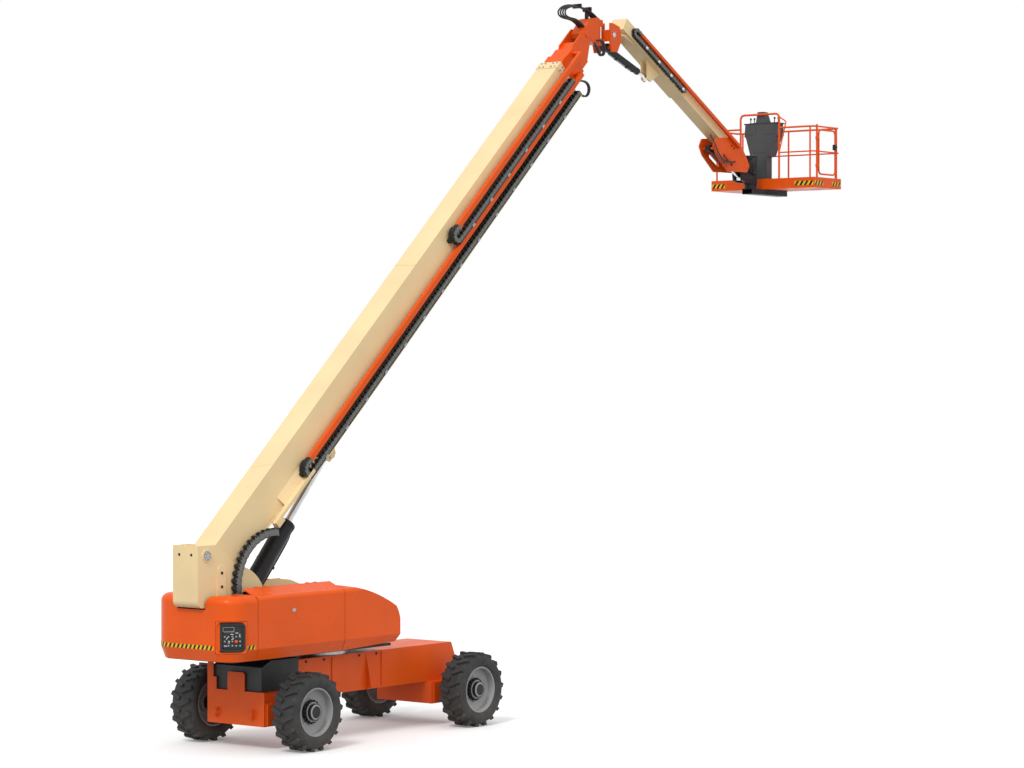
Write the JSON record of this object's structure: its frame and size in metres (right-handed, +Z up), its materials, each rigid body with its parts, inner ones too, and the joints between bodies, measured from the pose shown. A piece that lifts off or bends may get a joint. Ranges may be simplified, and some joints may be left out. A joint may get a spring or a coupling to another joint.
{
  "type": "telescopic boom lift",
  "caption": "Self-propelled telescopic boom lift: sliding axles with lugged wheels, slewing turntable, raised telescopic boom, telescopic jib and railed work platform.",
  "frame": {"origin": "on the ground, midway between the four wheels", "axes": "+X forward along the boom, +Y to the left, +Z up"},
  "size_m": [15.8403, 2.4902, 11.5515],
  "materials": {
    "tyre_rubber": "matt lugged rubber",
    "wheel_grey": "satin grey paint",
    "axle_black": "satin black paint",
    "paint_orange": "glossy orange paint",
    "cover_black": "matt black moulding",
    "bare_steel": "machined steel",
    "paint_dark": "satin black paint",
    "paint_cream": "satin cream paint",
    "cast_weight": "cast iron under the tail cover",
    "cover_orange": "moulded orange cover",
    "panel_black": "matt black panel",
    "engine_metal": "cast engine metal",
    "chain_grey": "grey cable carrier",
    "rod_chrome": "hard chrome",
    "console_grey": "dark grey housing"
  },
  "bodies": {
    "chassis": {"chassis_frame": "paint_orange", "front_axle_box": "paint_orange", "rear_axle_box": "paint_orange", "rear_cover": "cover_black", "slew_ring": "bare_steel"},
    "axle_fl": {"axle_beam_fl": "paint_orange"},
    "steer_fl": {"knuckle_fl": "axle_black"},
    "wheel_fl": {"tyre_fl": "tyre_rubber", "rim_fl": "wheel_grey"},
    "axle_fr": {"axle_beam_fr": "paint_orange"},
    "steer_fr": {"knuckle_fr": "axle_black"},
    "wheel_fr": {"tyre_fr": "tyre_rubber", "rim_fr": "wheel_grey"},
    "axle_rl": {"axle_beam_rl": "paint_orange"},
    "steer_rl": {"knuckle_rl": "axle_black"},
    "wheel_rl": {"tyre_rl": "tyre_rubber", "rim_rl": "wheel_grey"},
    "axle_rr": {"axle_beam_rr": "paint_orange"},
    "steer_rr": {"knuckle_rr": "axle_black"},
    "wheel_rr": {"tyre_rr": "tyre_rubber", "rim_rr": "wheel_grey"},
    "turntable": {"turntable_deck": "paint_dark", "boom_upright": "paint_cream", "counterweight": "cast_weight", "tail_cover": "cover_orange", "ground_controls": "panel_black", "nose_covers": "cover_orange", "engine_block": "engine_metal", "hose_carrier": "chain_grey"},
    "hood_right": {"hood_right": "cover_orange"},
    "hood_left": {"hood_left": "cover_orange"},
    "boom_base": {"boom_base": "paint_cream", "boom_carriers": "chain_grey", "carrier_trays": "paint_dark"},
    "boom_mid_outer": {"boom_mid_outer": "paint_orange", "push_tube_lower": "paint_orange"},
    "boom_mid_inner": {"boom_mid_inner": "paint_orange", "push_tube_upper": "paint_orange"},
    "boom_fly": {"boom_fly": "paint_orange"},
    "lift_barrel": {"lift_barrel": "paint_dark"},
    "lift_rod": {"lift_rod": "rod_chrome"},
    "tip": {"tip_upright": "paint_orange", "swivel_pin": "rod_chrome"},
    "jib_knuckle": {"jib_knuckle": "paint_orange"},
    "jib_outer": {"jib_outer": "paint_cream", "jib_carrier": "chain_grey"},
    "jib_inner": {"jib_inner": "paint_cream", "jib_fork": "paint_orange", "jib_push_tube": "paint_orange"},
    "jib_barrel": {"jib_barrel": "paint_dark"},
    "jib_rod": {"jib_rod": "rod_chrome"},
    "level_barrel": {"level_barrel": "paint_dark"},
    "level_rod": {"level_rod": "rod_chrome"},
    "rotator": {"rotator": "paint_dark"},
    "platform": {"support_beam": "paint_dark", "platform_floor": "paint_orange", "platform_rails": "paint_orange", "control_console": "console_grey"},
    "gate": {"gate": "paint_orange"}
  },
  "joints": [
    {"name": "axle_slide_fl", "type": "slide", "parent": "chassis", "child": "axle_fl", "axis": [0, 1, 0], "range_m": [0, 0.6]},
    {"name": "steer_fl", "type": "hinge", "parent": "axle_fl", "child": "steer_fl", "pos_m": [1.905, 0.7705, 0.5775], "axis": [0, 0, 1], "range_deg": [-25, 25]},
    {"name": "wheel_spin_fl", "type": "hinge", "parent": "steer_fl", "child": "wheel_fl", "pos_m": [1.905, 1.0225, 0.5775], "axis": [0, 1, 0], "continuous": true},
    {"name": "axle_slide_fr", "type": "slide", "parent": "chassis", "child": "axle_fr", "axis": [0, -1, 0], "range_m": [0, 0.6]},
    {"name": "steer_fr", "type": "hinge", "parent": "axle_fr", "child": "steer_fr", "pos_m": [1.905, -0.7705, 0.5775], "axis": [0, 0, 1], "range_deg": [-25, 25]},
    {"name": "wheel_spin_fr", "type": "hinge", "parent": "steer_fr", "child": "wheel_fr", "pos_m": [1.905, -1.0225, 0.5775], "axis": [0, 1, 0], "continuous": true},
    {"name": "axle_slide_rl", "type": "slide", "parent": "chassis", "child": "axle_rl", "axis": [0, 1, 0], "range_m": [0, 0.6]},
    {"name": "steer_rl", "type": "hinge", "parent": "axle_rl", "child": "steer_rl", "pos_m": [-1.905, 0.7705, 0.5775], "axis": [0, 0, 1], "range_deg": [-25, 25]},
    {"name": "wheel_spin_rl", "type": "hinge", "parent": "steer_rl", "child": "wheel_rl", "pos_m": [-1.905, 1.0225, 0.5775], "axis": [0, 1, 0], "continuous": true},
    {"name": "axle_slide_rr", "type": "slide", "parent": "chassis", "child": "axle_rr", "axis": [0, -1, 0], "range_m": [0, 0.6]},
    {"name": "steer_rr", "type": "hinge", "parent": "axle_rr", "child": "steer_rr", "pos_m": [-1.905, -0.7705, 0.5775], "axis": [0, 0, 1], "range_deg": [-25, 25]},
    {"name": "wheel_spin_rr", "type": "hinge", "parent": "steer_rr", "child": "wheel_rr", "pos_m": [-1.905, -1.0225, 0.5775], "axis": [0, 1, 0], "continuous": true},
    {"name": "slew", "type": "hinge", "parent": "chassis", "child": "turntable", "pos_m": [-0.5, 0, 1.345], "axis": [0, 0, 1], "continuous": true},
    {"name": "hood_open_right", "type": "hinge", "parent": "turntable", "child": "hood_right", "pos_m": [-1.7675, -0.47, 2.385], "axis": [-1, 0, 0], "range_deg": [0, 60]},
    {"name": "hood_open_left", "type": "hinge", "parent": "turntable", "child": "hood_left", "pos_m": [-1.7675, 0.47, 2.385], "axis": [1, 0, 0], "range_deg": [0, 60]},
    {"name": "boom_lift", "type": "hinge", "parent": "turntable", "child": "boom_base", "pos_m": [-3.21, 0, 2.885], "axis": [0, -1, 0], "range_deg": [-42.7, 32.3]},
    {"name": "boom_extend", "type": "slide", "parent": "boom_base", "child": "boom_mid_outer", "axis": [0.7349, 0, 0.6782], "range_m": [0, 8.4]},
    {"name": "boom_extend_inner", "type": "slide", "parent": "boom_mid_outer", "child": "boom_mid_inner", "axis": [0.7349, 0, 0.6782], "range_m": [0, 8.4]},
    {"name": "boom_extend_fly", "type": "slide", "parent": "boom_mid_inner", "child": "boom_fly", "axis": [0.7349, 0, 0.6782], "range_m": [0, 8.4]},
    {"name": "lift_barrel_tilt", "type": "hinge", "parent": "turntable", "child": "lift_barrel", "pos_m": [-2.72, 0, 1.57], "axis": [0, -1, 0], "range_deg": [-35.6, 27]},
    {"name": "lift_rod_slide", "type": "slide", "parent": "lift_barrel", "child": "lift_rod", "axis": [0.6614, 0, 0.75], "range_m": [-0.98, 0.74]},
    {"name": "tip_level", "type": "hinge", "parent": "boom_fly", "child": "tip", "pos_m": [6.08024, 0, 11.1802], "axis": [0, -1, 0], "range_deg": [-32.4, 42.8]},
    {"name": "jib_swing", "type": "hinge", "parent": "tip", "child": "jib_knuckle", "pos_m": [6.65024, 0, 11.2652], "axis": [0, 0, 1], "range_deg": [-60, 60]},
    {"name": "jib_lift", "type": "hinge", "parent": "jib_knuckle", "child": "jib_outer", "pos_m": [6.80024, 0, 11.2302], "axis": [0, 1, 0], "range_deg": [-105, 25]},
    {"name": "jib_extend", "type": "slide", "parent": "jib_outer", "child": "jib_inner", "axis": [0.866, 0, -0.5], "range_m": [0, 1.3]},
    {"name": "jib_barrel_tilt", "type": "hinge", "parent": "jib_knuckle", "child": "jib_barrel", "pos_m": [6.82024, 0, 11.0302], "axis": [0, 1, 0], "range_deg": [-102, 24.5]},
    {"name": "jib_rod_slide", "type": "slide", "parent": "jib_barrel", "child": "jib_rod", "axis": [0.9389, 0, -0.3441], "range_m": [-0.08, 0.3]},
    {"name": "platform_level", "type": "hinge", "parent": "jib_inner", "child": "rotator", "pos_m": [10.89931, 0, 9.21001], "axis": [0, 1, 0], "range_deg": [-25.1, 105.1]},
    {"name": "level_barrel_tilt", "type": "hinge", "parent": "jib_inner", "child": "level_barrel", "pos_m": [9.94793, 0, 9.48216], "axis": [0, 1, 0], "range_deg": [-3.3, 0.9]},
    {"name": "level_rod_slide", "type": "slide", "parent": "level_barrel", "child": "level_rod", "axis": [0.895, 0, -0.4461], "range_m": [-0.33, 0.08]},
    {"name": "platform_rotate", "type": "hinge", "parent": "rotator", "child": "platform", "pos_m": [11.29031, 0, 8.90001], "axis": [0, 0, 1], "range_deg": [-90, 90]},
    {"name": "gate_open", "type": "hinge", "parent": "platform", "child": "gate", "pos_m": [11.67031, -1.1847, 9.50001], "axis": [0, 0, 1], "range_deg": [0, 80]}
  ],
  "couplings": [
    {"joint": "axle_slide_fr", "follows": "axle_slide_fl", "ratio": 1},
    {"joint": "steer_fr", "follows": "steer_fl", "ratio": 1},
    {"joint": "axle_slide_rr", "follows": "axle_slide_rl", "ratio": 1},
    {"joint": "steer_rr", "follows": "steer_rl", "ratio": 1},
    {"joint": "boom_extend_inner", "follows": "boom_extend", "ratio": 1},
    {"joint": "boom_extend_fly", "follows": "boom_extend", "ratio": 1},
    {"joint": "lift_barrel_tilt", "follows": "boom_lift", "ratio": 0.83},
    {"joint": "lift_rod_slide", "follows": "boom_lift", "m_per_rad": 1.3},
    {"joint": "tip_level", "follows": "boom_lift", "ratio": -1},
    {"joint": "jib_barrel_tilt", "follows": "jib_lift", "ratio": 0.97},
    {"joint": "jib_rod_slide", "follows": "jib_lift", "m_per_rad": -0.16},
    {"joint": "platform_level", "follows": "jib_lift", "ratio": -1},
    {"joint": "level_barrel_tilt", "follows": "jib_lift", "ratio": 0.03},
    {"joint": "level_rod_slide", "follows": "jib_lift", "m_per_rad": 0.175}
  ]
}
